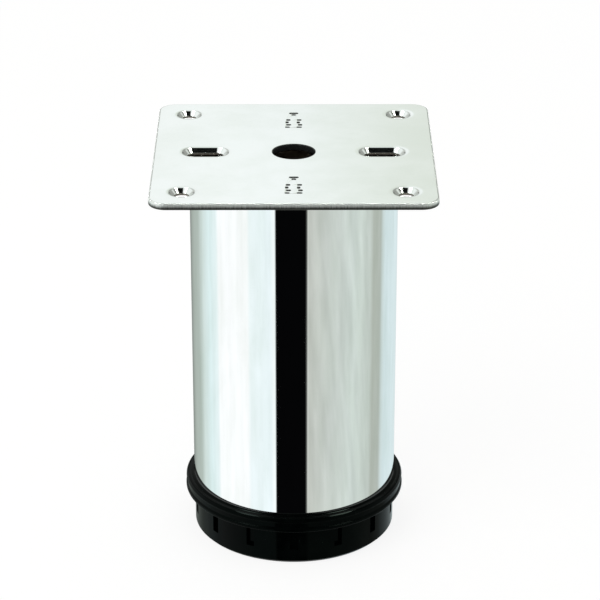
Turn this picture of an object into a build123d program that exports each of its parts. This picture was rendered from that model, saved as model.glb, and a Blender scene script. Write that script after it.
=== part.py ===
from build123d import *
import math
import os

# Round furniture leg with a square mounting plate and a screw-in adjusting foot.
# All sizes are in millimetres. The leg stands on z = 0 with its foot screwed fully in, its axis is Z,
# and the plate's slots lie along X.

# Mounting plate: stamped sheet with four sunk screw holes, two sunk slots and a centre hole
plate_side = 80.0
plate_thickness = 2.0
plate_corner_radius = 5.0
plate_top_edge_radius = 0.7
plate_bottom_edge_chamfer = 0.3
screw_spacing = 62.0
screw_hole_diameter = 4.4
screw_sink_diameter = 7.2
screw_sink_depth = 1.3
slot_offset = 25.3
slot_length = 10.6
slot_width = 4.8
slot_sink_width = 7.4
slot_sink_depth = 1.3
centre_hole_diameter = 12.0
centre_hole_chamfer = 0.25

# Tube and the fillet weld that joins it to the plate
tube_diameter = 60.0
tube_wall = 1.2
tube_length = 100.0
tube_end_chamfer = 0.3
weld_leg = 1.6

# End cap: collar under the tube, sleeve pressed into it, ribbed boss for the thread insert
cap_overhang = 2.4
cap_collar_height = 4.4
cap_lip_width = 1.1
cap_lip_height = 1.2
cap_collar_bottom_chamfer = 0.4
cap_floor = 3.0
cap_sleeve_height = 18.0
cap_sleeve_wall = 2.2
cap_sleeve_clearance = 0.05
cap_sleeve_lead_in = 1.0
cap_rib_count = 8
cap_rib_thickness = 1.6
cap_rib_height = 4.5
boss_wall = 3.2

# Thread insert: round nut with a flange that bears on the underside of the cap
insert_diameter = 14.0
insert_length = 18.0
insert_flange_diameter = 20.0
insert_flange_thickness = 1.5
insert_running_clearance = 0.05
insert_flange_clearance = 0.3
insert_end_chamfer = 0.5

# Levelling screw: M10 bolt moulded into the foot
stud_diameter = 10.0
stud_pitch = 1.5
stud_length = 33.0
stud_running_clearance = 0.05
stud_end_chamfer = 1.2
bolt_head_across_flats = 16.0
bolt_head_height = 6.4
bolt_head_crown = 0.6

# Adjusting foot: moulded cup with grip notches outside and ribs beneath
foot_diameter = 59.6
foot_wall = 2.6
foot_top_thickness = 2.7
foot_bolt_recess = 2.2
foot_bottom_edge_chamfer = 0.8
foot_top_edge_chamfer = 0.5
foot_rib_count = 8
foot_rib_thickness = 1.5
foot_rib_recess = 0.8
foot_hub_wall = 2.4
foot_pocket_clearance = 0.1
foot_gap = 0.3
notch_count = 14
notch_width = 2.4
notch_depth = 1.3
notch_floor_height = 4.4

# Travel of the foot below its rest place
foot_travel = 12.0

# Room that a cutter runs past the face it cuts
cut_past = 1.0

# Places that follow from the sizes
tube_radius = tube_diameter / 2
tube_inner_radius = tube_radius - tube_wall
foot_radius = foot_diameter / 2
foot_height = foot_bolt_recess + bolt_head_height + foot_top_thickness
foot_inner_radius = foot_radius - foot_wall
foot_top_underside = foot_height - foot_top_thickness
head_corner_radius = bolt_head_across_flats / 2 / math.cos(math.pi / 6)
pocket_corner_radius = head_corner_radius + foot_pocket_clearance / math.cos(math.pi / 6)
hub_radius = pocket_corner_radius + foot_hub_wall
cap_bottom = foot_height + foot_gap
tube_bottom = cap_bottom + cap_collar_height
tube_top = tube_bottom + tube_length
plate_bottom = tube_top
plate_top = plate_bottom + plate_thickness
collar_radius = tube_radius + cap_overhang
sleeve_radius = tube_inner_radius - cap_sleeve_clearance
sleeve_inner_radius = sleeve_radius - cap_sleeve_wall
sleeve_top = tube_bottom + cap_sleeve_height
insert_radius = insert_diameter / 2
insert_seat_radius = insert_radius + insert_running_clearance
insert_top = cap_bottom + insert_length
boss_radius = insert_seat_radius + boss_wall
stud_radius = stud_diameter / 2
stud_top = foot_height + stud_length


def revolved(points):
    """Solid of revolution about Z from a closed outline of (radius, height) points."""
    with BuildPart() as body:
        with BuildSketch(Plane.XZ):
            with BuildLine():
                Polyline(*points, close=True)
            make_face()
        revolve(axis=Axis.Z)
    return body.part


def edges_at(part, radius, height, reach=0.01):
    """Round edges of one radius at one height."""
    found = part.edges().filter_by(GeomType.CIRCLE)
    found = found.filter_by(lambda edge: abs(edge.radius - radius) < reach)
    return found.filter_by(lambda edge: abs(edge.arc_center.Z - height) < reach)


def slot_cutter():
    """Through slot with the flare of its sunk rim, standing on the origin."""
    flare = slot_sink_width - slot_width
    with BuildPart() as cutter:
        with BuildSketch(Plane.XY.offset(plate_bottom - cut_past)):
            SlotOverall(slot_length, slot_width)
        extrude(amount=plate_thickness + cut_past)
        with BuildSketch(Plane.XY.offset(plate_top - slot_sink_depth)):
            SlotOverall(slot_length, slot_width)
        with BuildSketch(Plane.XY.offset(plate_top)):
            SlotOverall(slot_length + flare, slot_width + flare)
        loft()
    return cutter.part


def make_mounting_plate():
    sink_reach = (screw_sink_diameter - screw_hole_diameter) / 2
    sink_angle = 2 * math.degrees(math.atan(sink_reach / screw_sink_depth))
    with BuildPart() as plate:
        with BuildSketch(Plane.XY.offset(plate_bottom)):
            RectangleRounded(plate_side, plate_side, plate_corner_radius)
        extrude(amount=plate_thickness)
        fillet(plate.edges().group_by(Axis.Z)[-1], plate_top_edge_radius)
        chamfer(plate.edges().group_by(Axis.Z)[0], plate_bottom_edge_chamfer)
        with Locations((0, 0, plate_top)):
            Hole(centre_hole_diameter / 2, plate_thickness)
            with GridLocations(screw_spacing, screw_spacing, 2, 2):
                CounterSinkHole(
                    screw_hole_diameter / 2,
                    screw_sink_diameter / 2,
                    plate_thickness,
                    sink_angle,
                )
        with Locations((-slot_offset, 0, 0), (slot_offset, 0, 0)):
            add(slot_cutter(), mode=Mode.SUBTRACT)
        chamfer(edges_at(plate.part, centre_hole_diameter / 2, plate_top), centre_hole_chamfer)
    return plate.part


def make_tube():
    with BuildPart() as tube:
        with BuildSketch(Plane.XY.offset(tube_bottom)):
            Circle(tube_radius)
            Circle(tube_inner_radius, mode=Mode.SUBTRACT)
        extrude(amount=tube_length)
        chamfer(edges_at(tube.part, tube_radius, tube_bottom), tube_end_chamfer)
    return tube.part


def make_weld_bead():
    """Fillet weld all round the tube, with equal legs on the tube and the plate."""
    return revolved(
        [
            (tube_radius, plate_bottom),
            (tube_radius, plate_bottom - weld_leg),
            (tube_radius + weld_leg, plate_bottom),
        ]
    )


def radial_ribs(count, thickness, inner, outer, bottom, top):
    """Straight ribs between two rings, ending inside the material of both."""
    with BuildPart() as ribs:
        with BuildSketch(Plane.XY.offset(bottom)):
            with PolarLocations(inner, count):
                Rectangle(outer - inner, thickness, align=(Align.MIN, Align.CENTER))
        extrude(amount=top - bottom)
    return ribs.part


def make_end_cap():
    cap_floor_top = cap_bottom + cap_floor
    seat_top = cap_bottom + insert_flange_thickness
    seat_radius = insert_flange_diameter / 2 + insert_flange_clearance
    lip_bottom = tube_bottom - cap_lip_height
    lip_middle = tube_bottom - cap_lip_height / 3
    half_boss_wall = boss_wall / 2
    half_sleeve_wall = cap_sleeve_wall / 2
    outline = [
        (insert_seat_radius, insert_top),
        (insert_seat_radius, seat_top),
        (seat_radius, seat_top),
        (seat_radius, cap_bottom),
        (collar_radius, cap_bottom),
        (collar_radius, lip_bottom),
        (collar_radius - cap_lip_width / 3, lip_middle),
        (collar_radius - cap_lip_width, tube_bottom),
        (sleeve_radius, tube_bottom),
        (sleeve_radius, sleeve_top - cap_sleeve_lead_in),
        (sleeve_radius - cap_sleeve_lead_in, sleeve_top),
        (sleeve_inner_radius, sleeve_top),
        (sleeve_inner_radius, cap_floor_top),
        (boss_radius, cap_floor_top),
        (boss_radius, insert_top),
    ]
    with BuildPart() as cap:
        add(revolved(outline))
        chamfer(edges_at(cap.part, collar_radius, cap_bottom), cap_collar_bottom_chamfer)
        add(
            radial_ribs(
                cap_rib_count,
                cap_rib_thickness,
                boss_radius - half_boss_wall,
                sleeve_inner_radius + half_sleeve_wall,
                cap_floor_top,
                cap_floor_top + cap_rib_height,
            )
        )
    return cap.part


def make_thread_insert():
    bore_radius = stud_radius + stud_running_clearance
    flange_radius = insert_flange_diameter / 2
    flange_top = cap_bottom + insert_flange_thickness
    return revolved(
        [
            (bore_radius, cap_bottom),
            (flange_radius, cap_bottom),
            (flange_radius, flange_top),
            (insert_radius, flange_top),
            (insert_radius, insert_top - insert_end_chamfer),
            (insert_radius - insert_end_chamfer, insert_top),
            (bore_radius, insert_top),
        ]
    )


def make_levelling_stud():
    """Hexagon bolt standing on its head, with a crowned head and a chamfered end."""
    head_top = foot_top_underside
    head_bottom = foot_bolt_recess
    crown_radius = head_corner_radius + cut_past
    flat_radius = bolt_head_across_flats / 2
    with BuildPart() as stud:
        with BuildSketch(Plane.XY.offset(head_bottom)):
            RegularPolygon(head_corner_radius, 6)
        extrude(amount=bolt_head_height)
        crown = revolved(
            [
                (0, head_bottom),
                (flat_radius - bolt_head_crown / 2, head_bottom),
                (crown_radius, head_bottom + bolt_head_crown),
                (crown_radius, head_top),
                (0, head_top),
            ]
        )
        add(crown, mode=Mode.INTERSECT)
        with BuildSketch(Plane.XY.offset(head_top)):
            Circle(stud_radius)
        extrude(amount=stud_top - head_top)
        chamfer(edges_at(stud.part, stud_radius, stud_top), stud_end_chamfer)
    return stud.part


def notch_cutters():
    """Grip notches round the foot, open at the top above a plain rim."""
    with BuildPart() as cutters:
        with BuildSketch(Plane.XY.offset(notch_floor_height)):
            with PolarLocations(foot_radius - notch_depth, notch_count, start_angle=-90):
                Rectangle(notch_depth + cut_past, notch_width, align=(Align.MIN, Align.CENTER))
        extrude(amount=foot_height + cut_past - notch_floor_height)
    return cutters.part


def make_adjusting_foot():
    ring_middle = (hub_radius + foot_inner_radius) / 2
    half_rib = foot_rib_thickness / 2
    half_wall = foot_wall / 2
    half_hub_wall = foot_hub_wall / 2
    skirt_outline = [
        (stud_radius + foot_pocket_clearance, foot_height),
        (stud_radius + foot_pocket_clearance, foot_top_underside),
        (foot_inner_radius, foot_top_underside),
        (foot_inner_radius, 0),
        (foot_radius, 0),
        (foot_radius, foot_height),
    ]
    with BuildPart() as foot:
        add(revolved(skirt_outline))
        chamfer(edges_at(foot.part, foot_radius, 0), foot_bottom_edge_chamfer)
        chamfer(edges_at(foot.part, foot_radius, foot_height), foot_top_edge_chamfer)
        with BuildSketch(Plane.XY.offset(foot_rib_recess)):
            Circle(hub_radius)
            RegularPolygon(pocket_corner_radius, 6, mode=Mode.SUBTRACT)
        extrude(amount=foot_top_underside - foot_rib_recess)
        with BuildSketch(Plane.XY.offset(foot_rib_recess)):
            Circle(ring_middle + half_rib)
            Circle(ring_middle - half_rib, mode=Mode.SUBTRACT)
        extrude(amount=foot_top_underside - foot_rib_recess)
        add(
            radial_ribs(
                foot_rib_count,
                foot_rib_thickness,
                hub_radius - half_hub_wall,
                foot_inner_radius + half_wall,
                foot_rib_recess,
                foot_top_underside,
            )
        )
        add(notch_cutters(), mode=Mode.SUBTRACT)
    return foot.part


makers = {
    "mounting_plate": make_mounting_plate,
    "tube": make_tube,
    "weld_bead": make_weld_bead,
    "end_cap": make_end_cap,
    "thread_insert": make_thread_insert,
    "levelling_stud": make_levelling_stud,
    "adjusting_foot": make_adjusting_foot,
}

os.makedirs("parts", exist_ok=True)
for name, maker in makers.items():
    export_step(maker(), f"parts/{name}.step")
    print("wrote", name)
turns = foot_travel / stud_pitch
print(f"leg {plate_top:.1f} mm high, foot unscrews {foot_travel:.1f} mm in {turns:.1f} turns")
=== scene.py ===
import math
import bmesh
import bpy
from mathutils import Matrix


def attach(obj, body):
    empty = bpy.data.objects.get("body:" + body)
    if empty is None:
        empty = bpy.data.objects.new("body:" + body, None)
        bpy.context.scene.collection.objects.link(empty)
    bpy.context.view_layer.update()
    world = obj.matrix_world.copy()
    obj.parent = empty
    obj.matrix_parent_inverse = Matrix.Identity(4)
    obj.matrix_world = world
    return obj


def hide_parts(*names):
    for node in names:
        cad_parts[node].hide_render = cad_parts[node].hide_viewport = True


# Looks of a chromed furniture leg: square screw-on plate, polished tube, black base with a screw-in foot.
# Sizes in the dictionaries are in millimetres; mm turns them to metres.
mm = 0.001
mergeReach = 0.0005 * mm        # points nearer than this are one
touchReach = 0.01 * mm          # points nearer than this to a line count as on it

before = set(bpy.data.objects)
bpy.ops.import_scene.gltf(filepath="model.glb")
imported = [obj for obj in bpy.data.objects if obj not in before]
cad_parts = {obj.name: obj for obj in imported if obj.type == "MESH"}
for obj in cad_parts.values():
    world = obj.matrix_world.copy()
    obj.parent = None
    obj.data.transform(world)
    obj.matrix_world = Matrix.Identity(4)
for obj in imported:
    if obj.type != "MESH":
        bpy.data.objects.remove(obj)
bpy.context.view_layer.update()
print("frame loaded")


def hexColour(code):
    # sRGB hex to linear, with full alpha
    parts = [int(code[place:place + 2], 16) / 255 for place in (1, 3, 5)]
    parts = [part / 12.92 if part <= 0.04045 else ((part + 0.055) / 1.055) ** 2.4 for part in parts]
    return (*parts, 1.0)


def addNode(tree, kind, inputs=None, stops=None, **settings):
    # a node with its settings, constants or links, and a ramp's stops
    node = tree.nodes.new(kind)
    for name, value in settings.items():
        setattr(node, name, value)
    for key, value in (inputs or {}).items():
        if isinstance(value, bpy.types.NodeSocket):
            tree.links.new(value, node.inputs[key])
        else:
            node.inputs[key].default_value = value
    if stops:
        ramp = node.color_ramp.elements
        ramp[0].position, ramp[1].position = stops[0][0], stops[-1][0]
        for place, colour in stops[1:-1]:
            ramp.new(place)
        for element, (place, colour) in zip(ramp, stops):
            element.color = hexColour(colour)
    return node


def startMaterial(name):
    material = bpy.data.materials.new(name)
    material.use_nodes = True
    material.node_tree.nodes.clear()
    return material, material.node_tree


# Camera: at the photograph's angle, 24 degrees above the level, looking along +Y
cameraPlace = {
    "lens": 161.65,
    "sensor": 36.0,
    "distance": 721.5,      # level distance from the leg's axis
    "height": 393.0,        # above the floor
    "tilt": 24.0225,        # degrees down
    "turn": -0.1414,        # degrees; the leg stands a little left of the middle
    "nearest": 10.0,        # what is nearer or farther isn't drawn
    "farthest": 50000.0,
}


def placeCamera():
    camera = bpy.data.objects.new("camera", bpy.data.cameras.new("camera"))
    bpy.context.scene.collection.objects.link(camera)
    camera.data.lens = cameraPlace["lens"]
    camera.data.sensor_width = cameraPlace["sensor"]
    camera.data.clip_start = cameraPlace["nearest"] * mm
    camera.data.clip_end = cameraPlace["farthest"] * mm
    camera.location = (0, -cameraPlace["distance"] * mm, cameraPlace["height"] * mm)
    camera.rotation_euler = (
        math.radians(90 - cameraPlace["tilt"]),
        0,
        math.radians(cameraPlace["turn"]),
    )
    bpy.context.scene.camera = camera


# Studio: pale floor, soft light, and the cards that the chrome shows. A range is the part of a noise
# that is spread over the tones or the roughness beside it, here and in the finishes.
studio = {
    "floorSide": 6.0,               # metres
    "floorColour": "#f4f4f2",
    "floorGlow": 0.8,               # share of the floor that the camera sees lit from below
    "glowStrength": 1.062,
    "skyStrength": 0.72,
    "lampSide": 1.1,                # metres
    "lampPlace": (-0.75, -0.8, 1.15),
    "lampPower": 6.0,               # watts
    "mirrorStrength": 1.1,          # of the cards
    "nadirColour": "#f3f6f4",
    "zenithColour": "#c9cecb",
    "zenithHeights": (0.985, 0.997),    # where it starts and is in full, as in cardLayers
    "cloudScale": 7.0,              # faint clouds over all the cards
    "cloudRange": (0.3, 0.7),
    "cloudTones": (0.965, 1.03),
    "mottleScale": (34.0, 26.0),    # patches in a full turn, and in the radius of the room upwards
    "mottleLean": 0.76,             # turns, as it goes up by that radius
    "mottleRange": (0.35, 0.65),
    "mottleDepth": 0.075,           # share by which the mottled card gets lighter and darker
    "glintHeights": (0.865, 0.873, 0.945, 0.955),   # fading in, in full, fading out, gone
    "glintGain": 80.0,              # times brighter than the cards
}

# Cards round the leg by bearing: degrees from the camera's side, plus to the right
lowCards = [
    (-180, "#5f6561"), (-168, "#868d88"), (-160, "#949b96"), (-154, "#a5aea7"), (-132, "#b3beb7"),
    (-122, "#cfdcd8"), (-108, "#dff0f0"), (-96, "#e6f2f2"), (-92, "#fdfefe"), (-53, "#fdfefe"),
    (-50, "#f0f9fa"), (-26, "#eef8fa"), (-22, "#f8fdfd"), (-20.7, "#f8fdfd"), (-20.4, "#050506"),
    (14, "#050506"), (14.5, "#d4d6d0"), (17, "#bfc2bb"), (40, "#c9cfc9"), (70, "#cdd6d0"),
    (94, "#c6cec7"), (99, "#b0b6ad"), (112, "#b2b9b1"), (116, "#c8d4d2"), (123, "#d3e2e4"),
    (150, "#d6e5e7"), (168, "#d4e2e4"), (180, "#a2aaa5"),
]
levelCards = [
    (-180, "#9b9d97"), (-175, "#8b8d87"), (-170, "#1c1e1d"), (-152, "#1c1e1d"), (-146, "#dfe4e1"),
    (-100, "#fdfefe"), (-40, "#eef3f1"), (-22, "#101211"), (18, "#101211"), (34, "#c4c8c3"),
    (100, "#f2f6f4"), (146, "#f0f4f1"), (152, "#1c1e1d"), (170, "#1c1e1d"), (175, "#8b8d87"),
    (180, "#9b9d97"),
]
wallCards = [
    (-180, "#f0f4f3"), (-176, "#f2f5f4"), (-170, "#f0f4f3"), (-164, "#c6c8c4"), (-142, "#c6c8c4"),
    (-132, "#edf1ef"), (-100, "#fdfefe"), (-60, "#f6fafa"), (-34, "#d8dddb"), (-22, "#6c6f6d"),
    (18, "#6c6f6d"), (30, "#b9bdb8"), (70, "#e4e9e4"), (120, "#e3e7e2"), (132, "#9c9e99"),
    (162, "#9c9e99"), (170, "#d9dfd7"), (177, "#e0e5de"), (179, "#e9eeea"), (180, "#f0f4f3"),
]
highCards = [
    (-180, "#e4eae6"), (-120, "#e9efec"), (-50, "#fbfdfc"), (-44, "#0b0d0c"), (68, "#0b0d0c"),
    (76, "#4f514d"), (95, "#73756f"), (115, "#a0a29d"), (140, "#c4c6c1"), (180, "#e4eae6"),
]
# the layers of cards upwards: the heights at which each starts and is in full, as shares of the
# room's radius
cardLayers = [
    ((-0.92, -0.75), lowCards), ((-0.17, -0.1), levelCards), ((0.06, 0.28), wallCards),
    ((0.66, 0.78), highCards),
]
# two small lamps high at the sides, which only the base's lip shows
glintCards = [
    (-123, "#000000"), (-118, "#707070"), (-84, "#707070"), (-79, "#000000"), (79, "#000000"),
    (84, "#ffffff"), (118, "#ffffff"), (123, "#000000"),
]
# the grey card on the right is mottled
mottleCards = [
    (-180, "#000000"), (14, "#000000"), (17, "#ffffff"), (88, "#ffffff"), (100, "#000000"),
    (180, "#000000"),
]


def buildWorld():
    world = bpy.data.worlds.new("studio")
    bpy.context.scene.world = world
    world.use_nodes = True
    tree = world.node_tree
    tree.nodes.clear()
    direction = addNode(tree, "ShaderNodeTexCoord").outputs["Generated"]
    split = addNode(tree, "ShaderNodeSeparateXYZ", {0: direction}).outputs
    nearness = addNode(tree, "ShaderNodeMath", {0: split["Y"], 1: -1.0}, operation="MULTIPLY")
    bearing = addNode(tree, "ShaderNodeMath", {0: split["X"], 1: nearness.outputs[0]}, operation="ARCTAN2")
    turnShare = addNode(tree, "ShaderNodeMapRange",
                        {0: bearing.outputs[0], 1: -math.pi, 2: math.pi, 3: 0.0, 4: 1.0})

    def cardsAt(stops):
        places = [((stop + 180) / 360, colour) for stop, colour in stops]
        return addNode(tree, "ShaderNodeValToRGB", {0: turnShare.outputs[0]}, stops=places).outputs[0]

    def above(start, full):
        return addNode(tree, "ShaderNodeMapRange", {0: split["Z"], 1: start, 2: full, 3: 0.0, 4: 1.0},
                       interpolation_type="SMOOTHSTEP").outputs[0]

    # the cards from the floor up
    room = hexColour(studio["nadirColour"])
    layers = [(heights, cardsAt(cards)) for heights, cards in cardLayers]
    layers.append((studio["zenithHeights"], hexColour(studio["zenithColour"])))
    for heights, colour in layers:
        room = addNode(tree, "ShaderNodeMix", {0: above(*heights), 6: room, 7: colour},
                       data_type="RGBA").outputs[2]

    # the lamps that only the base's lip shows
    start, full, end, gone = studio["glintHeights"]
    band = addNode(tree, "ShaderNodeMath", {0: above(start, full), 1: above(end, gone)},
                   operation="SUBTRACT")
    glint = addNode(tree, "ShaderNodeMath", {0: cardsAt(glintCards), 1: band.outputs[0]},
                    operation="MULTIPLY")
    strength = addNode(tree, "ShaderNodeMapRange",
                       {0: glint.outputs[0], 1: 0.0, 2: 1.0, 3: studio["mirrorStrength"],
                        4: studio["mirrorStrength"] * (1 + studio["glintGain"])})

    # clouds over all the cards, and leaning patches on the mottled one
    cloud = addNode(tree, "ShaderNodeTexNoise",
                    {"Vector": direction, "Scale": studio["cloudScale"], "Detail": 5.0})
    cloudTone = addNode(tree, "ShaderNodeMapRange",
                        {0: cloud.outputs["Fac"], 1: studio["cloudRange"][0], 2: studio["cloudRange"][1],
                         3: studio["cloudTones"][0], 4: studio["cloudTones"][1]})
    leaning = addNode(tree, "ShaderNodeMath",
                      {0: split["Z"], 1: studio["mottleLean"], 2: turnShare.outputs[0]},
                      operation="MULTIPLY_ADD")
    unrolled = addNode(tree, "ShaderNodeCombineXYZ", {0: leaning.outputs[0], 1: split["Z"]})
    patches = addNode(tree, "ShaderNodeMapping",
                      {"Vector": unrolled.outputs[0], "Scale": (*studio["mottleScale"], 1)})
    mottle = addNode(tree, "ShaderNodeTexNoise", {"Vector": patches.outputs[0], "Scale": 1.0, "Detail": 5.0})
    mottleTone = addNode(tree, "ShaderNodeMapRange",
                         {0: mottle.outputs["Fac"], 1: studio["mottleRange"][0], 2: studio["mottleRange"][1],
                          3: -studio["mottleDepth"], 4: studio["mottleDepth"]})
    tone = addNode(tree, "ShaderNodeMath",
                   {0: cardsAt(mottleCards), 1: mottleTone.outputs[0], 2: cloudTone.outputs[0]},
                   operation="MULTIPLY_ADD")
    clouded = addNode(tree, "ShaderNodeMix", {0: 1.0, 6: room, 7: tone.outputs[0]},
                      data_type="RGBA", blend_type="MULTIPLY")

    # reflections see the cards, the camera sees white, and all else is lit by a plain sky
    mirrored = addNode(tree, "ShaderNodeBackground", {0: clouded.outputs[2], 1: strength.outputs[0]})
    plain = addNode(tree, "ShaderNodeBackground", {0: (1, 1, 1, 1), 1: studio["skyStrength"]})
    white = addNode(tree, "ShaderNodeBackground", {0: (1, 1, 1, 1), 1: 1.0})
    path = addNode(tree, "ShaderNodeLightPath").outputs
    reflecting = addNode(tree, "ShaderNodeMixShader",
                         {0: path["Is Glossy Ray"], 1: plain.outputs[0], 2: mirrored.outputs[0]})
    seen = addNode(tree, "ShaderNodeMixShader",
                   {0: path["Is Camera Ray"], 1: reflecting.outputs[0], 2: white.outputs[0]})
    addNode(tree, "ShaderNodeOutputWorld", {0: seen.outputs[0]})


def buildFloor():
    bm = bmesh.new()
    bmesh.ops.create_grid(bm, x_segments=1, y_segments=1, size=studio["floorSide"] / 2)
    mesh = bpy.data.meshes.new("floor")
    bm.to_mesh(mesh)
    bm.free()
    material, tree = startMaterial("paintedPaleFloor")
    matt = addNode(tree, "ShaderNodeBsdfDiffuse", {0: hexColour(studio["floorColour"])})
    glow = addNode(tree, "ShaderNodeEmission", {0: (1, 1, 1, 1), 1: studio["glowStrength"]})
    path = addNode(tree, "ShaderNodeLightPath").outputs
    share = addNode(tree, "ShaderNodeMath", {0: path["Is Camera Ray"], 1: studio["floorGlow"]},
                    operation="MULTIPLY")
    surface = addNode(tree, "ShaderNodeMixShader",
                      {0: share.outputs[0], 1: matt.outputs[0], 2: glow.outputs[0]})
    addNode(tree, "ShaderNodeOutputMaterial", {0: surface.outputs[0]})
    mesh.materials.append(material)
    floor = bpy.data.objects.new("floor", mesh)
    bpy.context.scene.collection.objects.link(floor)
    floor.visible_glossy = False      # the chrome shows the cards instead
    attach(floor, "foot")            # the floor stays under the foot as it is screwed out


def buildLamp():
    light = bpy.data.lights.new("softbox", "AREA")
    light.size = studio["lampSide"]
    light.energy = studio["lampPower"]
    lamp = bpy.data.objects.new("softbox", light)
    bpy.context.scene.collection.objects.link(lamp)
    lamp.location = studio["lampPlace"]
    lamp.rotation_euler = (-lamp.location).to_track_quat("-Z", "Y").to_euler()
    lamp.visible_glossy = False


placeCamera()
buildWorld()
buildFloor()
buildLamp()
print("camera and studio ready")


# Bright chrome over nickel on a belt-polished steel tube: a hard, faintly cool mirror, with soft
# wipe marks and a slight waviness that bends the reflections.
chromeFinish = {
    "bright": "#f6f8f9",
    "worn": "#e9edeb",
    "wornRange": (0.38, 0.64),
    "wipeMark": 17.0,           # mm across
    "wipeTurn": (0.5, 0.3, 0.2),
    "wipeStretch": 0.45,        # less than 1 draws the marks out upwards
    "wipeRange": (0.45, 0.75),
    "streak": 2.6,              # mm across, eight times as long and leaning
    "streakTurn": (0.12, -0.16, 0),
    "streakStretch": 0.12,
    "streakShare": 0.5,         # the rest of the wear comes from the wipe marks
    "wave": 34.0,               # mm between the tube's gentle waves
    "waveDepth": 0.010,         # mm
    "beltLine": 0.5,            # mm apart; real ones are ten times finer
    "beltLength": 16.7,         # mm round the tube
    "beltDepth": 0.00012,
    "clearRoughness": 0.022,
    "wipedRoughness": 0.06,
}


def makeChrome():
    look = chromeFinish
    material, tree = startMaterial("chromePlatedSteel")
    place = addNode(tree, "ShaderNodeTexCoord").outputs["Object"]
    slanted = addNode(tree, "ShaderNodeMapping",
                      {"Vector": place, "Rotation": look["wipeTurn"], "Scale": (1, 1, look["wipeStretch"])})
    wipes = addNode(tree, "ShaderNodeTexNoise",
                    {"Vector": slanted.outputs[0], "Scale": 1 / (look["wipeMark"] * mm), "Detail": 4.0,
                     "Roughness": 0.6, "Distortion": 0.6})
    haze = addNode(tree, "ShaderNodeMapRange",
                   {0: wipes.outputs["Fac"], 1: look["wipeRange"][0], 2: look["wipeRange"][1],
                    3: look["clearRoughness"], 4: look["wipedRoughness"]})
    leaning = addNode(tree, "ShaderNodeMapping",
                      {"Vector": place, "Rotation": look["streakTurn"],
                       "Scale": (1, 1, look["streakStretch"])})
    streaks = addNode(tree, "ShaderNodeTexNoise",
                      {"Vector": leaning.outputs[0], "Scale": 1 / (look["streak"] * mm), "Detail": 3.0})
    marks = addNode(tree, "ShaderNodeMix",
                    {0: look["streakShare"], 2: wipes.outputs["Fac"], 3: streaks.outputs["Fac"]})
    tint = addNode(tree, "ShaderNodeValToRGB", {0: marks.outputs[0]},
                   stops=list(zip(look["wornRange"], (look["bright"], look["worn"]))))
    waves = addNode(tree, "ShaderNodeTexNoise",
                    {"Vector": place, "Scale": 1 / (look["wave"] * mm), "Detail": 1.0})
    waveBump = addNode(tree, "ShaderNodeBump",
                       {"Height": waves.outputs["Fac"], "Distance": look["waveDepth"] * mm, "Strength": 1.0})
    along = 1 / (look["beltLength"] * mm)
    ground = addNode(tree, "ShaderNodeMapping",
                     {"Vector": place, "Scale": (along, along, 1 / (look["beltLine"] * mm))})
    belt = addNode(tree, "ShaderNodeTexNoise", {"Vector": ground.outputs[0], "Scale": 1.0, "Detail": 2.0})
    beltBump = addNode(tree, "ShaderNodeBump",
                       {"Height": belt.outputs["Fac"], "Distance": look["beltDepth"] * mm, "Strength": 1.0,
                        "Normal": waveBump.outputs[0]})
    surface = addNode(tree, "ShaderNodeBsdfPrincipled",
                      {"Base Color": tint.outputs[0], "Metallic": 1.0, "Roughness": haze.outputs[0],
                       "Normal": beltBump.outputs[0]})
    addNode(tree, "ShaderNodeOutputMaterial", {0: surface.outputs[0]})
    return material


# Cold-rolled mild steel sheet, stamped, then nickel and chrome plated without polishing: a soft
# mirror that keeps the sheet's faint grain and cloudy patches.
sheetFinish = {
    "bright": "#f3f6f5",
    "cloudy": "#edf1ee",
    "cloudyRange": (0.38, 0.66),
    "patch": 14.0,              # mm across
    "hazeRange": (0.35, 0.7),
    "grain": 0.35,              # mm across the rolling lines, along the slots
    "grainLength": 11.1,        # mm along them
    "grainDepth": 0.0006,
    "roughnessLow": 0.055,
    "roughnessHigh": 0.09,
}


def makeSheet():
    look = sheetFinish
    material, tree = startMaterial("platedSheetSteel")
    place = addNode(tree, "ShaderNodeTexCoord").outputs["Object"]
    patches = addNode(tree, "ShaderNodeTexNoise",
                      {"Vector": place, "Scale": 1 / (look["patch"] * mm), "Detail": 5.0, "Roughness": 0.55})
    tint = addNode(tree, "ShaderNodeValToRGB", {0: patches.outputs["Fac"]},
                   stops=list(zip(look["cloudyRange"], (look["bright"], look["cloudy"]))))
    haze = addNode(tree, "ShaderNodeMapRange",
                   {0: patches.outputs["Fac"], 1: look["hazeRange"][0], 2: look["hazeRange"][1],
                    3: look["roughnessLow"], 4: look["roughnessHigh"]})
    along = 1 / (look["grainLength"] * mm)
    drawn = addNode(tree, "ShaderNodeMapping",
                    {"Vector": place, "Scale": (1 / (look["grain"] * mm), along, along)})
    grain = addNode(tree, "ShaderNodeTexNoise", {"Vector": drawn.outputs[0], "Scale": 1.0, "Detail": 3.0})
    bump = addNode(tree, "ShaderNodeBump",
                   {"Height": grain.outputs["Fac"], "Distance": look["grainDepth"] * mm, "Strength": 1.0})
    surface = addNode(tree, "ShaderNodeBsdfPrincipled",
                      {"Base Color": tint.outputs[0], "Metallic": 1.0, "Roughness": haze.outputs[0],
                       "Normal": bump.outputs[0]})
    addNode(tree, "ShaderNodeOutputMaterial", {0: surface.outputs[0]})
    return material


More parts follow.
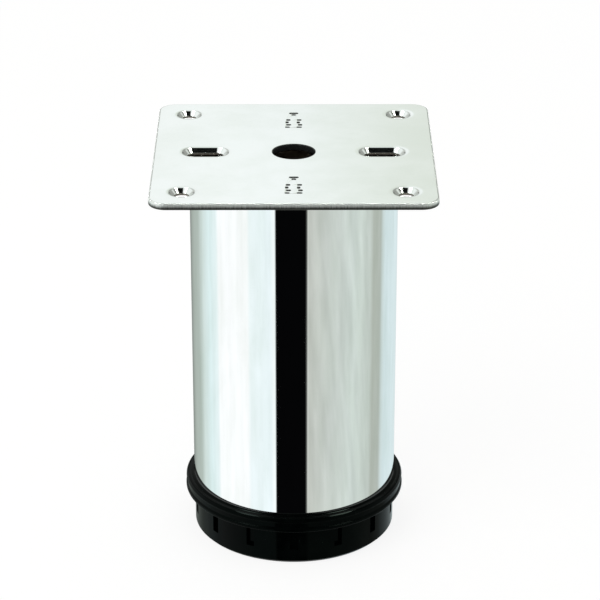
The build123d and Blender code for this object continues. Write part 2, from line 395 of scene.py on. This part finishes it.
# Black polyamide, injection moulded in a spark-eroded mould: a satin skin with fine pits,
# a little greyer where it has been handled.
plasticFinish = {
    "body": "#010202",
    "scuffed": "#050807",
    "scuffPatch": 9.0,          # mm across
    "scuffRange": (0.42, 0.78),
    "hazeRange": (0.35, 0.7),
    "pit": 0.28,                # mm across; real ones are finer
    "pitDepth": 0.0012,
    "roughnessLow": 0.08,
    "roughnessHigh": 0.14,
    "ior": 1.53,
    "gloss": 0.032,             # specular level
    "sheen": "#cdeae0",         # tint of its reflections
}


def makePlastic():
    look = plasticFinish
    material, tree = startMaterial("mouldedBlackPolyamide")
    place = addNode(tree, "ShaderNodeTexCoord").outputs["Object"]
    patches = addNode(tree, "ShaderNodeTexNoise",
                      {"Vector": place, "Scale": 1 / (look["scuffPatch"] * mm), "Detail": 6.0,
                       "Roughness": 0.65})
    tint = addNode(tree, "ShaderNodeValToRGB", {0: patches.outputs["Fac"]},
                   stops=list(zip(look["scuffRange"], (look["body"], look["scuffed"]))))
    haze = addNode(tree, "ShaderNodeMapRange",
                   {0: patches.outputs["Fac"], 1: look["hazeRange"][0], 2: look["hazeRange"][1],
                    3: look["roughnessLow"], 4: look["roughnessHigh"]})
    pits = addNode(tree, "ShaderNodeTexNoise",
                   {"Vector": place, "Scale": 1 / (look["pit"] * mm), "Detail": 2.0})
    bump = addNode(tree, "ShaderNodeBump",
                   {"Height": pits.outputs["Fac"], "Distance": look["pitDepth"] * mm, "Strength": 1.0})
    surface = addNode(tree, "ShaderNodeBsdfPrincipled",
                      {"Base Color": tint.outputs[0], "Roughness": haze.outputs[0], "IOR": look["ior"],
                       "Specular IOR Level": look["gloss"],
                       "Specular Tint": hexColour(look["sheen"]), "Normal": bump.outputs[0]})
    addNode(tree, "ShaderNodeOutputMaterial", {0: surface.outputs[0]})
    return material


# Machined steel, bright zinc plated: a soft bluish grey metal with a slight yellow bloom.
zincFinish = {
    "blue": "#c3c9ce",
    "yellow": "#cfcdbf",
    "yellowRange": (0.4, 0.7),
    "bloom": 6.0,               # mm across
    "bloomRange": (0.3, 0.7),
    "tool": 0.22,               # mm between turning lines
    "toolLength": 12.5,         # mm round the bolt
    "toolDepth": 0.002,
    "roughnessLow": 0.26,
    "roughnessHigh": 0.4,
}


def makeZinc():
    look = zincFinish
    material, tree = startMaterial("zincPlatedSteel")
    place = addNode(tree, "ShaderNodeTexCoord").outputs["Object"]
    bloom = addNode(tree, "ShaderNodeTexNoise",
                    {"Vector": place, "Scale": 1 / (look["bloom"] * mm), "Detail": 4.0})
    tint = addNode(tree, "ShaderNodeValToRGB", {0: bloom.outputs["Fac"]},
                   stops=list(zip(look["yellowRange"], (look["blue"], look["yellow"]))))
    haze = addNode(tree, "ShaderNodeMapRange",
                   {0: bloom.outputs["Fac"], 1: look["bloomRange"][0], 2: look["bloomRange"][1],
                    3: look["roughnessLow"], 4: look["roughnessHigh"]})
    along = 1 / (look["toolLength"] * mm)
    turned = addNode(tree, "ShaderNodeMapping",
                     {"Vector": place, "Scale": (along, along, 1 / (look["tool"] * mm))})
    lines = addNode(tree, "ShaderNodeTexNoise", {"Vector": turned.outputs[0], "Scale": 1.0, "Detail": 2.0})
    bump = addNode(tree, "ShaderNodeBump",
                   {"Height": lines.outputs["Fac"], "Distance": look["toolDepth"] * mm, "Strength": 1.0})
    surface = addNode(tree, "ShaderNodeBsdfPrincipled",
                      {"Base Color": tint.outputs[0], "Metallic": 1.0, "Roughness": haze.outputs[0],
                       "Normal": bump.outputs[0]})
    addNode(tree, "ShaderNodeOutputMaterial", {0: surface.outputs[0]})
    return material


# Blanked edge of the plate: the punch burnishes the upper half, and the lower half tears away matt.
# Its dark colour there is partly the torn steel and partly painted shade along the plate's lower edge.
# The plating is thin there.
blankedFinish = {
    "burnished": "#f2f4f1",
    "tornAndShaded": "#4b4c48",
    "tornAndShadedBelow": 116.6,         # height of the change
    "burnishedAbove": 117.45,
    "ragged": 0.7,              # mm by which the change goes up and down
    "tear": 0.45,               # mm between the tears, which run through the sheet
    "tearHeight": 3.33,         # mm
    "tearDepth": 0.02,
    "burnishedRoughness": 0.6,
    "tornRoughness": 0.5,
}


def makeBlanked():
    look = blankedFinish
    material, tree = startMaterial("blankedEdgeShadedBelow")
    place = addNode(tree, "ShaderNodeTexCoord").outputs["Object"]
    height = addNode(tree, "ShaderNodeSeparateXYZ", {0: place}).outputs["Z"]
    along = 1 / (look["tear"] * mm)
    across = addNode(tree, "ShaderNodeMapping",
                     {"Vector": place, "Scale": (along, along, 1 / (look["tearHeight"] * mm))})
    tears = addNode(tree, "ShaderNodeTexNoise", {"Vector": across.outputs[0], "Scale": 1.0, "Detail": 3.0})
    ragged = addNode(tree, "ShaderNodeMath",
                     {0: tears.outputs["Fac"], 1: look["ragged"] * mm, 2: height}, operation="MULTIPLY_ADD")
    shift = look["ragged"] / 2
    zone = addNode(tree, "ShaderNodeMapRange",
                   {0: ragged.outputs[0], 1: (look["tornAndShadedBelow"] + shift) * mm,
                    2: (look["burnishedAbove"] + shift) * mm, 3: 0.0, 4: 1.0})
    # dark below, partly torn steel and partly painted shade; burnished above
    tint = addNode(tree, "ShaderNodeValToRGB", {0: zone.outputs[0]},
                   stops=[(0.0, look["tornAndShaded"]), (1.0, look["burnished"])])
    haze = addNode(tree, "ShaderNodeMapRange",
                   {0: zone.outputs[0], 1: 0.0, 2: 1.0,
                    3: look["tornRoughness"], 4: look["burnishedRoughness"]})
    bump = addNode(tree, "ShaderNodeBump",
                   {"Height": tears.outputs["Fac"], "Distance": look["tearDepth"] * mm, "Strength": 0.6})
    surface = addNode(tree, "ShaderNodeBsdfPrincipled",
                      {"Base Color": tint.outputs[0], "Metallic": 1.0, "Roughness": haze.outputs[0],
                       "Normal": bump.outputs[0]})
    addNode(tree, "ShaderNodeOutputMaterial", {0: surface.outputs[0]})
    return material


# Inside of the tube: unplated rolled steel with a brownish mill skin, which soaks up light
millFinish = {
    "name": "millFinishSteel",
    "skin": "#c2b8aa",
    "stain": "#9c9083",
    "patch": 7.0,               # mm across
    "depth": 0.02,
    "roughness": 0.6,
    "metal": 0.35,
}

# Sheared walls of the holes: the plating hardly reaches them, so they stay brownish grey and dull
shearedFinish = {
    "name": "shearedSteelHoleWall",
    "skin": "#8d887e",
    "stain": "#69645c",
    "patch": 0.6,
    "depth": 0.015,
    "roughness": 0.55,
    "metal": 0.4,
}

# Punch marks and the wall of the large hole: dark steel, painted shade that makes the punch grooves and the
# way down into the tube read dark
paintedShadeFinish = {
    "name": "darkSteelPaintedShade",
    "skin": "#2b2d2b",
    "stain": "#191b1a",
    "patch": 0.5,
    "depth": 0.01,
    "roughness": 0.5,
    "metal": 0.5,
}

# from skin to stain, in all three dull steels
stainRange = (0.38, 0.66)


def makeDullSteel(look):
    material, tree = startMaterial(look["name"])
    place = addNode(tree, "ShaderNodeTexCoord").outputs["Object"]
    patches = addNode(tree, "ShaderNodeTexNoise",
                      {"Vector": place, "Scale": 1 / (look["patch"] * mm), "Detail": 5.0})
    tint = addNode(tree, "ShaderNodeValToRGB", {0: patches.outputs["Fac"]},
                   stops=list(zip(stainRange, (look["skin"], look["stain"]))))
    bump = addNode(tree, "ShaderNodeBump",
                   {"Height": patches.outputs["Fac"], "Distance": look["depth"] * mm, "Strength": 0.5})
    surface = addNode(tree, "ShaderNodeBsdfPrincipled",
                      {"Base Color": tint.outputs[0], "Metallic": look["metal"],
                       "Roughness": look["roughness"], "Normal": bump.outputs[0]})
    addNode(tree, "ShaderNodeOutputMaterial", {0: surface.outputs[0]})
    return material


chrome = makeChrome()
blanked = makeBlanked()
mill = makeDullSteel(millFinish)
sheared = makeDullSteel(shearedFinish)
paintedShadeSteel = makeDullSteel(paintedShadeFinish)
sheet = makeSheet()
plastic = makePlastic()
zinc = makeZinc()
print("materials ready")


def finishPiece(bm, name, materials, body, node, softEdges=None):
    # merges the mesh, turns its faces outwards and hands the piece to the frame
    bmesh.ops.remove_doubles(bm, verts=bm.verts, dist=mergeReach)
    bmesh.ops.recalc_face_normals(bm, faces=bm.faces)
    for face in bm.faces:
        face.smooth = True
    mesh = bpy.data.meshes.new(name)
    bm.to_mesh(mesh)
    bm.free()
    for material in materials:
        mesh.materials.append(material)
    piece = bpy.data.objects.new(name, mesh)
    bpy.context.scene.collection.objects.link(piece)
    if softEdges:
        bevel = piece.modifiers.new("edges", "BEVEL")
        bevel.width = softEdges["width"] * mm
        bevel.segments = softEdges["segments"]
        bevel.limit_method = "ANGLE"
        bevel.angle_limit = math.radians(softEdges["sharpness"])
    piece.modifiers.new("normals", "WEIGHTED_NORMAL")
    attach(piece, body)
    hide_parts(node)


def spinProfile(bm, points, steps):
    # a closed profile of (radius, height) points, spun once round the leg's axis
    corners = [bm.verts.new((radius * mm, 0, height * mm)) for radius, height in points]
    edges = [bm.edges.new(pair) for pair in zip(corners, corners[1:] + corners[:1])]
    bmesh.ops.spin(bm, geom=corners + edges, cent=(0, 0, 0), axis=(0, 0, 1), dvec=(0, 0, 0),
                   angle=2 * math.pi, steps=steps, use_merge=True, use_duplicate=False)


def bevelRing(bm, radius, height, width, segments):
    # rounds the ring edge at one radius and height
    def onRing(point):
        across = abs(point.co.xy.length - radius * mm)
        upwards = abs(point.co.z - height * mm)
        return max(across, upwards) < touchReach

    ring = [edge for edge in bm.edges if all(onRing(point) for point in edge.verts)]
    bmesh.ops.bevel(bm, geom=ring, offset=width * mm, offset_type="OFFSET", affect="EDGES",
                    segments=segments, profile=0.5, material=-1)


# Mounting plate: stamped sheet, rolled over at its top edge and sunk round its holes
plateShape = {
    "side": 80.0,
    "corner": 5.0,
    "bottom": 116.0,
    "top": 118.0,
    "topRoll": 0.55,
    "topRollAngles": (0, 15, 30, 45, 60, 75, 90),
    "bottomRoll": 0.35,
    "bottomRollAngles": (0, 30, 60, 90),
    "rimPlatedRings": 2,        # from the face outwards; the rest is the blanked edge
    "rimPoints": 64,            # round each outline
    "holePoints": 72,
    "punchPoints": 24,
    "screwSpacing": 62.0,
    "screwRadius": 2.2,
    "slotPlace": 25.3,
    "slotRadius": 2.4,
    "slotStretch": 2.9,         # half of what its two round ends are moved apart
    "centreRadius": 6.0,
    "markPlace": 26.0,
    # growth of the hole's radius and depth below the plate's face, from the rim inwards
    "sink": [(2.7, 0), (2.3, 0.01), (1.95, 0.035), (1.65, 0.075), (1.42, 0.13), (1.26, 0.21),
             (1.13, 0.31), (0.1, 1.27), (0.02, 1.33), (0, 1.4), (0, 1.86), (0.04, 1.95), (0.1, 2.0)],
    "sinkPlatedRings": 9,       # from the rim inwards; the rest is sheared
    "centrePlatedRings": 1,
    "centreRim": [(0.42, 0), (0.28, 0.04), (0.12, 0.13), (0, 0.3), (0, 1.75), (0.08, 1.92), (0.25, 2.0)],
    # punch marks, which are grooves with sloping walls: growth and depth at a radius of 1, then
    # place from the mark's middle, radius and stretch
    "punchRim": [(0.12, 0), (0.04, 0.03), (-0.04, 0.1), (-0.6, 0.5), (-0.8, 0.55)],
    "punchPlatedRings": 1,
    "punches": [
        ((0, 5.7), 0.55, (0.8, 0.05)), ((0, 4.3), 0.45, (0.2, 0.1)),
        ((-1.6, 0.0), 0.42, (0.2, 0.2)), ((-1.95, -2.0), 0.42, (0.05, 0.3)),
        ((-1.5, -4.1), 0.42, (0.3, 0.15)), ((-1.85, -6.1), 0.42, (0.25, 0.1)),
        ((1.6, 0.0), 0.42, (0.25, 0.15)), ((1.35, -2.1), 0.42, (0.05, 0.35)),
        ((1.85, -4.1), 0.42, (0.2, 0.2)), ((1.6, -6.1), 0.42, (0.35, 0.1)),
    ],
}

plateFinishes = [sheet, blanked, sheared, paintedShadeSteel]


def drawOutline(bm, centre, radius, height, stretch, count):
    # a ring whose quarters are moved apart, which makes it a slot or a rounded square
    turn = Matrix.Rotation(math.pi / count, 4, "Z")
    place = Matrix.Translation((centre[0] * mm, centre[1] * mm, height * mm))
    ring = bmesh.ops.create_circle(bm, segments=count, radius=radius * mm, cap_ends=False,
                                   matrix=place @ turn)["verts"]
    for point in ring:
        point.co.x += math.copysign(stretch[0] * mm, point.co.x - centre[0] * mm)
        point.co.y += math.copysign(stretch[1] * mm, point.co.y - centre[1] * mm)
    return list({edge for point in ring for edge in point.link_edges})


def joinOutlines(bm, outlines, platedRings, finish):
    # walls from ring to ring; past the plated ones they have another finish
    strips = [bmesh.ops.bridge_loops(bm, edges=upper + lower)["faces"]
              for upper, lower in zip(outlines, outlines[1:])]
    for strip in strips[platedRings:]:
        for face in strip:
            face.material_index = plateFinishes.index(finish)


def sinkHole(bm, centre, radius, profile, stretch, count, platedRings, finish):
    outlines = [drawOutline(bm, centre, radius + growth, plateShape["top"] - depth, stretch, count)
                for growth, depth in profile]
    joinOutlines(bm, outlines, platedRings, finish)
    return outlines[0], outlines[-1]


def drawRim(bm):
    # the plate's edge from its face down to its back, as outlines of the corners' radius and height
    shape = plateShape
    straight = (shape["side"] / 2 - shape["corner"],) * 2
    rim = []
    for angle in shape["topRollAngles"]:
        inset = shape["topRoll"] * (1 - math.sin(math.radians(angle)))
        drop = shape["topRoll"] * (1 - math.cos(math.radians(angle)))
        rim.append((shape["corner"] - inset, shape["top"] - drop))
    for angle in shape["bottomRollAngles"]:
        inset = shape["bottomRoll"] * (1 - math.cos(math.radians(angle)))
        rise = shape["bottomRoll"] * (1 - math.sin(math.radians(angle)))
        rim.append((shape["corner"] - inset, shape["bottom"] + rise))
    outlines = [drawOutline(bm, (0, 0), corner, height, straight, shape["rimPoints"])
                for corner, height in rim]
    # past the plated rings comes the blanked edge, with painted shade along its lower part
    joinOutlines(bm, outlines, shape["rimPlatedRings"], blanked)
    return outlines[0], outlines[-1]


def makePlate():
    shape = plateShape
    bm = bmesh.new()
    faceEdges, backEdges = drawRim(bm)
    half = shape["screwSpacing"] / 2
    slotStretch = (shape["slotStretch"], 0)
    sunk = (shape["sinkPlatedRings"], sheared)
    holes = [((x, y), shape["screwRadius"], shape["sink"], (0, 0), *sunk)
             for x in (-half, half) for y in (-half, half)]
    holes += [((x, 0), shape["slotRadius"], shape["sink"], slotStretch, *sunk)
              for x in (-shape["slotPlace"], shape["slotPlace"])]
    # the large hole's wall takes the dark steel: painted shade down into the tube
    holes.append(((0, 0), shape["centreRadius"], shape["centreRim"], (0, 0),
                  shape["centrePlatedRings"], paintedShadeSteel))
    for centre, radius, profile, stretch, platedRings, finish in holes:
        upper, lower = sinkHole(bm, centre, radius, profile, stretch, shape["holePoints"],
                                platedRings, finish)
        faceEdges += upper
        backEdges += lower
    for side in (-1, 1):
        for (x, y), radius, stretch in shape["punches"]:
            groove = [(growth * radius, depth * radius) for growth, depth in shape["punchRim"]]
            # the punch grooves and their floors take the dark steel: painted shade in the grooves
            upper, lower = sinkHole(bm, (x, y + side * shape["markPlace"]), radius, groove, stretch,
                                    shape["punchPoints"], shape["punchPlatedRings"], paintedShadeSteel)
            faceEdges += upper
            bottom = bmesh.ops.contextual_create(bm, geom=lower)["faces"]
            bottom[0].material_index = plateFinishes.index(paintedShadeSteel)
    bmesh.ops.triangle_fill(bm, edges=faceEdges, use_beauty=True, normal=(0, 0, 1))
    bmesh.ops.triangle_fill(bm, edges=backEdges, use_beauty=True, normal=(0, 0, -1))
    finishPiece(bm, "stampedPlate", plateFinishes, "leg", "mounting_plate")


# Tube: cut square, its lower edge broken, standing on the base's collar
tubeShape = {
    "radius": 30.0,
    "bore": 28.8,
    "bottom": 16.0,
    "top": 116.0,
    "outerEdge": 0.4,
    "innerEdge": 0.2,
    "steps": 256,
}


def makeTube():
    shape = tubeShape
    bm = bmesh.new()
    spinProfile(bm, [(shape["bore"], shape["bottom"]), (shape["radius"], shape["bottom"]),
                     (shape["radius"], shape["top"]), (shape["bore"], shape["top"])], shape["steps"])
    bevelRing(bm, shape["radius"], shape["bottom"], shape["outerEdge"], 4)
    bevelRing(bm, shape["bore"], shape["bottom"], shape["innerEdge"], 2)
    for face in bm.faces:
        reach = face.calc_center_median().xy.length
        face.material_index = int(reach < (shape["bore"] + shape["innerEdge"] / 2) * mm)
    finishPiece(bm, "chromedTube", [chrome, mill], "leg", "tube")


# Weld bead: a hollow fillet with the ripples of the torch, plated over
weldShape = {
    # radius and height, from the corner of the tube and the plate
    "profile": [(30.0, 116.0), (30.0, 114.4), (30.3, 114.62), (30.62, 115.0), (31.05, 115.42),
                (31.6, 116.0)],
    "ripples": 118,
    "rippleSteps": 4,
    "rippleDepth": 0.07,
}


def makeWeld():
    shape = weldShape
    bm = bmesh.new()
    spinProfile(bm, shape["profile"], shape["ripples"] * shape["rippleSteps"])
    tubeRadius, plateBottom = shape["profile"][0]
    for point in bm.verts:
        reach = point.co.xy.length
        if reach > tubeRadius * mm + touchReach and point.co.z < plateBottom * mm - touchReach:
            swell = math.sin(math.atan2(point.co.y, point.co.x) * shape["ripples"])
            point.co.z -= shape["rippleDepth"] * swell * mm
            point.co.xy *= 1 + shape["rippleDepth"] * swell * mm / reach
    finishPiece(bm, "weldFillet", [chrome], "leg", "weld_bead")


# End cap: collar with a rounded lip and a bead, sleeve in the tube, ribs and a boss for the insert
capShape = {
    # radius and height, from the tube's end over the sleeve, the floor and the boss to the underside
    "inside": [(28.75, 16.0), (28.75, 33.0), (27.75, 34.0), (26.55, 34.0), (26.55, 14.6), (10.25, 14.6),
               (10.25, 29.6), (7.05, 29.6), (7.05, 13.1), (10.3, 13.1), (10.3, 11.6)],
    # rounded corners up the collar: centre, radius, first and last angle from level
    "collar": [((32.1, 12.0), 0.4, -90, 0), ((32.1, 12.4), 0.4, 0, 70), ((32.32, 13.18), 0.2, 250, 180),
               ((32.32, 14.4), 0.2, 180, 110), ((32.0, 14.85), 0.4, 40, 0), ((31.475, 14.9), 0.925, 0, 50),
               ((30.463, 13.694), 2.5, 50, 64), ((31.3, 15.409), 0.591, 64, 90)],
    "cornerSteps": 6,
    "ribs": 8,
    "ribSize": (17.2, 1.6, 4.6),    # outwards from the boss, across and up
    "ribPlace": (18.2, 0, 16.8),    # middle of the first one
    "steps": 192,
}


def roundCorner(centre, radius, first, last):
    count = capShape["cornerSteps"]
    angles = [math.radians(first + (last - first) * step / count) for step in range(count + 1)]
    return [(centre[0] + radius * math.cos(angle), centre[1] + radius * math.sin(angle)) for angle in angles]


def makeCap():
    shape = capShape
    bm = bmesh.new()
    collar = [point for corner in shape["collar"] for point in roundCorner(*corner)]
    spinProfile(bm, shape["inside"] + collar, shape["steps"])
    size = Matrix.Diagonal((*[side * mm for side in shape["ribSize"]], 1))
    place = Matrix.Translation([side * mm for side in shape["ribPlace"]])
    for number in range(shape["ribs"]):
        turn = Matrix.Rotation(2 * math.pi * number / shape["ribs"], 4, "Z")
        bmesh.ops.create_cube(bm, size=1, matrix=turn @ place @ size)
    finishPiece(bm, "endCap", [plastic], "leg", "end_cap")


# Foot: keeps the frame's own shape, with its moulded edges softened
footEdges = {
    "width": 0.16,
    "segments": 2,
    "sharpness": 35.0,          # degrees; only sharper edges are softened
    "flatness": 0.6,            # degrees; faces that meet at less than this are joined first
}


def makeFoot():
    bm = bmesh.new()
    bm.from_mesh(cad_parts["adjusting_foot"].data)
    bmesh.ops.remove_doubles(bm, verts=bm.verts, dist=mergeReach)
    bmesh.ops.dissolve_limit(bm, angle_limit=math.radians(footEdges["flatness"]),
                             use_dissolve_boundaries=False, verts=bm.verts, edges=bm.edges, delimit=set())
    finishPiece(bm, "footRing", [plastic], "foot", "adjusting_foot", footEdges)


# Levelling stud: hexagon bolt with a cut metric thread
studShape = {
    "crest": 4.98,
    "root": 4.1,
    "pitch": 1.5,
    "rootEnd": 0.25,            # shares of the pitch
    "crestStart": 0.5625,
    "crestEnd": 0.6875,
    "seam": 0.002,              # points of neighbouring turns nearer than this are one
    "shankBottom": 8.5,
    "top": 44.3,
    "endBevel": 1.2,
    "headBottom": 2.2,
    "headTop": 8.6,
    "headEdge": 0.25,
    "acrossFlats": 16.0,
    "steps": 28,                # round one turn
}


def cutLevel(bm, height, keepAbove=False, keepBelow=False):
    # cuts the mesh at a height and closes the cut where one side is taken away
    cut = bmesh.ops.bisect_plane(bm, geom=bm.verts[:] + bm.edges[:] + bm.faces[:], dist=mergeReach / 5,
                                 plane_co=(0, 0, height * mm), plane_no=(0, 0, 1),
                                 clear_outer=keepBelow, clear_inner=keepAbove)
    if keepAbove or keepBelow:
        edges = [item for item in cut["geom_cut"] if isinstance(item, bmesh.types.BMEdge)]
        bmesh.ops.triangle_fill(bm, edges=edges, use_beauty=True)


def makeStud():
    shape = studShape
    bm = bmesh.new()
    pitch = shape["pitch"]
    turns = math.ceil((shape["top"] - shape["shankBottom"]) / pitch) + 2
    ridge = [(shape["root"], 0), (shape["root"], shape["rootEnd"]), (shape["crest"], shape["crestStart"]),
             (shape["crest"], shape["crestEnd"]), (shape["root"], 1)]
    start = shape["shankBottom"] - pitch
    points = [bm.verts.new((radius * mm, 0, (start + share * pitch) * mm)) for radius, share in ridge]
    edges = [bm.edges.new(pair) for pair in zip(points, points[1:])]
    bmesh.ops.spin(bm, geom=points + edges, cent=(0, 0, 0), axis=(0, 0, 1),
                   dvec=(0, 0, pitch * mm / shape["steps"]), angle=2 * math.pi * turns,
                   steps=turns * shape["steps"], use_merge=False, use_duplicate=False)
    bmesh.ops.remove_doubles(bm, verts=bm.verts, dist=shape["seam"] * mm)
    bevelStart = shape["top"] - shape["endBevel"]
    cutLevel(bm, bevelStart)
    cutLevel(bm, shape["shankBottom"], keepAbove=True)
    cutLevel(bm, shape["top"], keepBelow=True)
    for point in bm.verts:
        limit = shape["crest"] * mm - max(0, point.co.z - bevelStart * mm)
        if point.co.xy.length > limit:
            point.co.xy *= limit / point.co.xy.length
    corner = shape["acrossFlats"] / 2 / math.cos(math.pi / 6)
    headMiddle = (shape["headTop"] + shape["headBottom"]) / 2
    head = bmesh.ops.create_cone(bm, segments=6, radius1=corner * mm, radius2=corner * mm, cap_ends=True,
                                 depth=(shape["headTop"] - shape["headBottom"]) * mm,
                                 matrix=Matrix.Translation((0, 0, headMiddle * mm)))
    headEdges = {edge for point in head["verts"] for edge in point.link_edges}
    bmesh.ops.bevel(bm, geom=list(headEdges), offset=shape["headEdge"] * mm, offset_type="OFFSET",
                    affect="EDGES", segments=2, profile=0.5, material=-1)
    finishPiece(bm, "threadedStud", [zinc], "foot", "levelling_stud")


makePlate()
print("plate made")
makeTube()
makeWeld()
print("tube and weld made")
makeCap()
makeFoot()
makeStud()
print("base made")

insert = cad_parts["thread_insert"]
insert.data.materials.clear()
insert.data.materials.append(zinc)

bpy.context.scene.view_settings.view_transform = "Standard"
